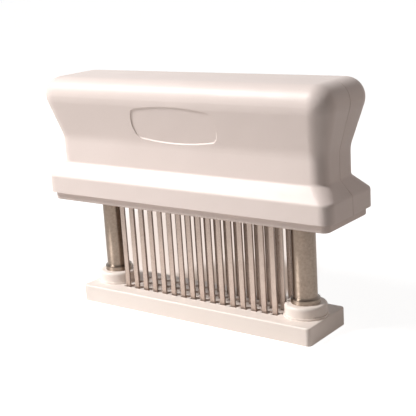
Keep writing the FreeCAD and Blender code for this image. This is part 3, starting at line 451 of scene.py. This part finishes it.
# Blades. Three rows of sixteen flat stainless blades with eased edges, a T-shaped head in the
# block and a point ground from both faces. The grind runs across them, and their colour darkens
# towards the block, painted shade under the handle.
# Painted shade: darker higher up, under the handle.
painted_shade_upwards = [(0.015, 0.0), (0.052, 0.40)]
blade_steel = worked_steel("blade_steel", rgb(0.57, 0.47, 0.41), rgb(0.44, 0.35, 0.30),
                           roughness=0.26, grain=(1.0, 1.0, 12.0), size=0.0006, speckle=0.1,
                           painted_shade=painted_shade_upwards)
head_half, shank_half, tip_half, edge_half = 0.00185, 0.001175, 0.00004, 0.000075
head_height, bevel_length, point_length, eased_edge = 0.002, 0.0024, 0.004, 0.00012
bevel_share, around = 0.6, 8
per_row, rows = 16, 3
low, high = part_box("middle_blades")
thick_half = (high.y - low.y) / 2
pitch = (high.x - low.x - 2 * head_half) / (per_row - 1)
row_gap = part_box("back_blades")[0].y - low.y
shoulder = high.z - head_height
levels = [(low.z, tip_half, edge_half),
          (low.z + bevel_length, shank_half * bevel_share, thick_half),
          (low.z + point_length, shank_half, thick_half), (shoulder, shank_half, thick_half),
          (shoulder, head_half, thick_half), (high.z, head_half, thick_half)]
corners, sides = [], []
for height, wide, deep in levels:
    eased = min(eased_edge, wide * 0.5, deep * 0.5)
    corners += [(-wide + eased, -deep, height), (wide - eased, -deep, height),
                (wide, -deep + eased, height), (wide, deep - eased, height),
                (wide - eased, deep, height), (-wide + eased, deep, height),
                (-wide, deep - eased, height), (-wide, -deep + eased, height)]
for start in range(0, len(corners) - around, around):
    for corner in range(around):
        following = (corner + 1) % around
        sides.append((start + corner, start + following,
                      start + around + following, start + around + corner))
sides += [tuple(reversed(range(around))), tuple(range(len(corners) - around, len(corners)))]
blade_mesh = bpy.data.meshes.new("one_blade")
blade_mesh.from_pydata(corners, [], sides)
one_blade = bpy.data.objects.new("one_blade", blade_mesh)
scene.collection.objects.link(one_blade)

comb = Recipe("blades", pitch=pitch, row_gap=row_gap, per_row=per_row, rows=rows)
spots = comb.node("MeshGrid", sockets={
    "Size X": comb.size("pitch") * (comb.size("per_row") - 1),
    "Size Y": comb.size("row_gap") * (comb.size("rows") - 1),
    "Vertices X": comb.size("per_row"), "Vertices Y": comb.size("rows")})
blade = comb.node("ObjectInfo", sockets={"Object": one_blade}, out="Geometry")
blades = comb.make(comb.node("InstanceOnPoints", sockets={"Points": spots, "Instance": blade}),
                   blade_steel)
bpy.data.objects.remove(one_blade)
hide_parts("front_blades", "middle_blades", "back_blades")
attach(blades, "handle")

# Screws. Plated steel with a domed head, a cross recess and a rolled thread: two up into the column
# plugs, four up through the cover, and four down through the clamp plate.
screw_steel = worked_steel("plated_screw_steel", rgb(0.62, 0.61, 0.60), rgb(0.50, 0.49, 0.48),
                           roughness=0.24, grain=(1.0, 1.0, 1.0), size=0.0007)


def threaded_screw(name, shank, length, head, head_height, pitch):
    """A screw that stands on its head at the origin, with its thread pointing up. The shares are
    of the shank's radius, the head's height and the head's radius."""
    rings_per_turn, thread_share, dome_share, flare_share = 6, 0.36, 0.45, 0.10
    cross_depth, cross_reach, cross_width = 0.55, 1.25, 0.26
    recipe = Recipe(name, shank=shank, length=length, head=head, head_height=head_height,
                    pitch=pitch)
    where = recipe.node("InputPosition")
    x, y, z = (recipe.node("ShaderNodeSeparateXYZ", sockets={"Vector": where}, out=axis)
               for axis in range(3))

    rod = recipe.node("MeshCylinder", sockets={
        "Vertices": 20, "Side Segments": int(length / pitch * rings_per_turn),
        "Fill Segments": 1, "Radius": recipe.size("shank"), "Depth": recipe.size("length")})
    turn = recipe.maths("ARCTAN2", y, x) / (2 * math.pi)
    wave = recipe.maths("PINGPONG", z / recipe.size("pitch") + turn, 0.5)
    depth = 1 - (0.5 - wave) * thread_share
    rod = recipe.node("SetPosition", sockets={
        "Geometry": rod, "Position": recipe.vector(x * depth, y * depth, z)})
    rod = recipe.node("Transform", sockets={
        "Geometry": rod, "Translation": recipe.vector(z=recipe.size("length") * 0.5)})

    dome = recipe.node("MeshCylinder", sockets={
        "Vertices": 28, "Side Segments": 4, "Fill Segments": 3,
        "Radius": recipe.size("head"), "Depth": recipe.size("head_height")})
    rise = z / recipe.size("head_height") + 0.5
    out_from = (x * x + y * y) / (recipe.size("head") * recipe.size("head"))
    domed = z + (1 - rise) * out_from * recipe.size("head_height") * dome_share
    drawn = 1 - (1 - rise) * (1 - rise) * flare_share
    dome = recipe.node("SetPosition", sockets={
        "Geometry": dome, "Position": recipe.vector(x * drawn, y * drawn, domed)})
    dome = recipe.node("Transform", sockets={
        "Geometry": dome, "Translation": recipe.vector(z=recipe.size("head_height") * -0.5)})

    long, narrow = recipe.size("head") * cross_reach, recipe.size("head") * cross_width
    for along, over in ((long, narrow), (narrow, long)):
        bar = recipe.node("MeshCube", sockets={"Size": recipe.vector(
            along, over, recipe.size("head_height") * (2 * cross_depth))})
        bar = recipe.node("Transform", sockets={
            "Geometry": bar, "Translation": recipe.vector(z=recipe.size("head_height") * -1.0)})
        dome = recipe.node("MeshBoolean", {"operation": "DIFFERENCE", "solver": "EXACT"},
                           {"Mesh 1": dome, "Mesh 2": bar})
    pattern = recipe.make(recipe.node("JoinGeometry", sockets={0: [rod, dome]}), screw_steel)
    scene.collection.objects.unlink(pattern)
    return pattern


def set_screws(name, node, body, places, head_up, **sizes):
    """Sets copies of a screw in place of a node, with the heads where the node has its own."""
    pattern = threaded_screw(f"{name}_pattern", **sizes)
    low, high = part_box(node)
    bears_at = high.z - sizes["head_height"] if head_up else low.z + sizes["head_height"]
    mesh = bpy.data.meshes.new(f"{name}_places")
    mesh.from_pydata([(x, y, bears_at) for x, y in places], [], [])
    spots = bpy.data.objects.new(f"{name}_places", mesh)
    scene.collection.objects.link(spots)
    scene.collection.objects.link(pattern)
    recipe = Recipe(name, tip=math.pi if head_up else 0.0, swing=0.5)
    points = recipe.node("ObjectInfo", sockets={"Object": spots}, out="Geometry")
    one = recipe.node("ObjectInfo", sockets={"Object": pattern}, out="Geometry")
    spin = recipe.node("FunctionNodeRandomValue", {"data_type": "FLOAT"},
                       {2: recipe.size("swing") * -1.0, 3: recipe.size("swing"), "Seed": 4}, 1)
    turned = recipe.vector(x=recipe.size("tip"), z=spin)
    placed = recipe.node("InstanceOnPoints", sockets={"Points": points, "Instance": one,
                                                      "Rotation": turned})
    screws = recipe.make(placed, screw_steel)
    bpy.data.objects.remove(spots)
    bpy.data.objects.remove(pattern)
    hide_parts(node)
    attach(screws, body)


def corners_of(x, y):
    """The four places of a rectangle about the tool's middle."""
    return [(-x, -y), (-x, y), (x, -y), (x, y)]


bush_low, bush_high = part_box("right_guide_bush")
column_x = (bush_low.x + bush_high.x) / 2
cover_screw_inset, clamp_screw_spacing = 0.0072, 0.0632
set_screws("base_screws_set", "base_screws", "base", [(-column_x, 0), (column_x, 0)],
           head_up=False, shank=0.00145, length=0.008, head=0.0029, head_height=0.0018,
           pitch=0.0006)
set_screws("cover_screws_set", "cover_screws", "handle",
           corners_of(cad_high.x - cover_screw_inset, cad_high.y - cover_screw_inset),
           head_up=False, shank=0.00105, length=0.009, head=0.0022, head_height=0.0014,
           pitch=0.0006)
set_screws("clamp_screws_set", "clamp_screws", "handle",
           corners_of(clamp_screw_spacing / 2, row_gap / 2),
           head_up=True, shank=0.0014, length=0.0083, head=0.0026, head_height=0.0016,
           pitch=0.0006)
